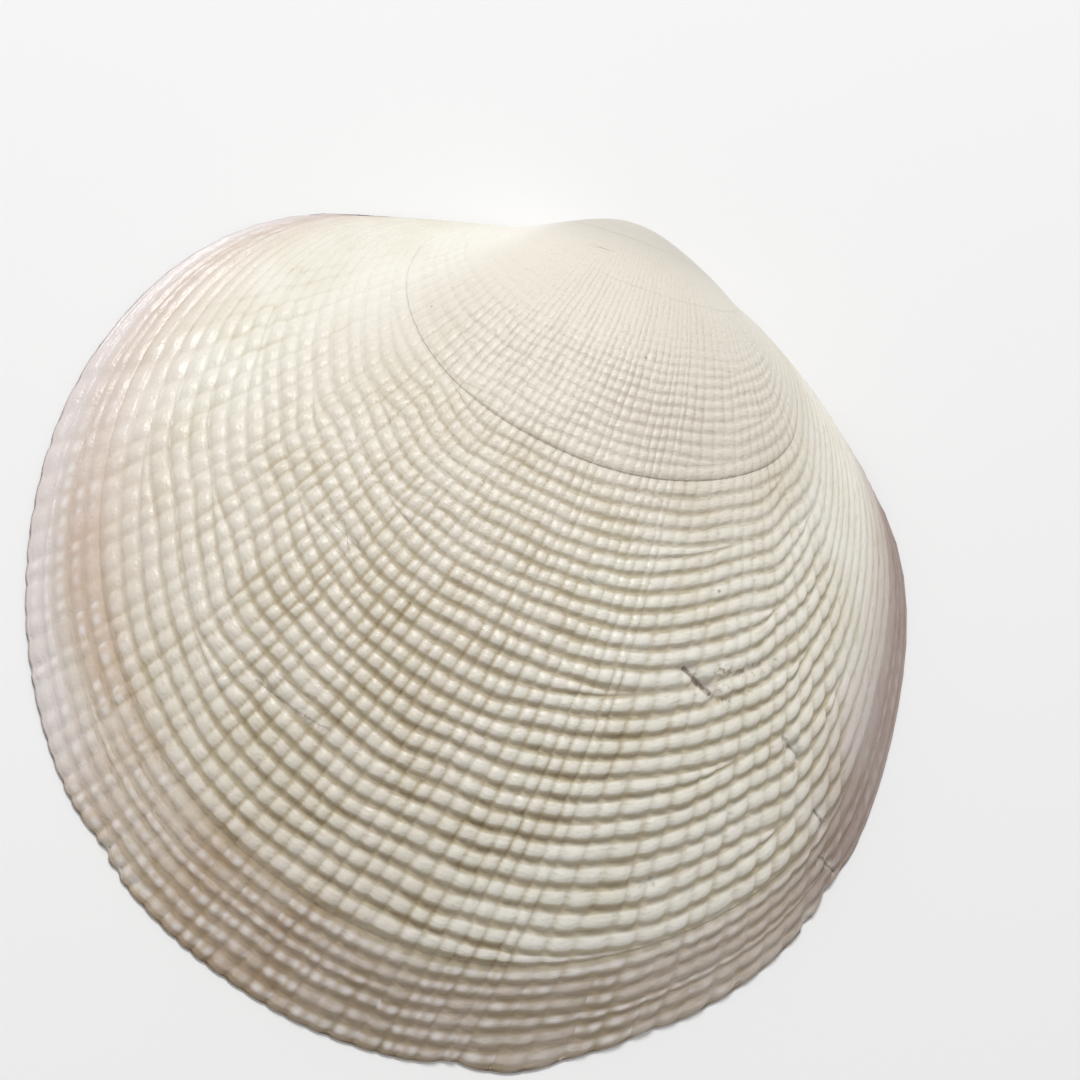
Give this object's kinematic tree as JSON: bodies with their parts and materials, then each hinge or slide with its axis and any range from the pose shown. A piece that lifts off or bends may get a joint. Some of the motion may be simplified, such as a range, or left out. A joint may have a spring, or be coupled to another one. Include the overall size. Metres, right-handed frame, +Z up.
{
  "type": "cockle shell",
  "caption": "Valve of a round white sea shell, latticed outside with growth cords and ribs and hollow beneath, lying dome up on its rim.",
  "frame": {"origin": "centre of the valve's bounding box, on the surface its rim rests on", "axes": "+X along the hinge line, away from the way the beak leans; +Y from the rim's far edge towards the beak; +Z up out of the dome"},
  "size_m": [0.0798, 0.077, 0.0192],
  "materials": {
    "shell": "satin"
  },
  "bodies": {
    "root": {"valve": "shell"}
  },
  "joints": []
}
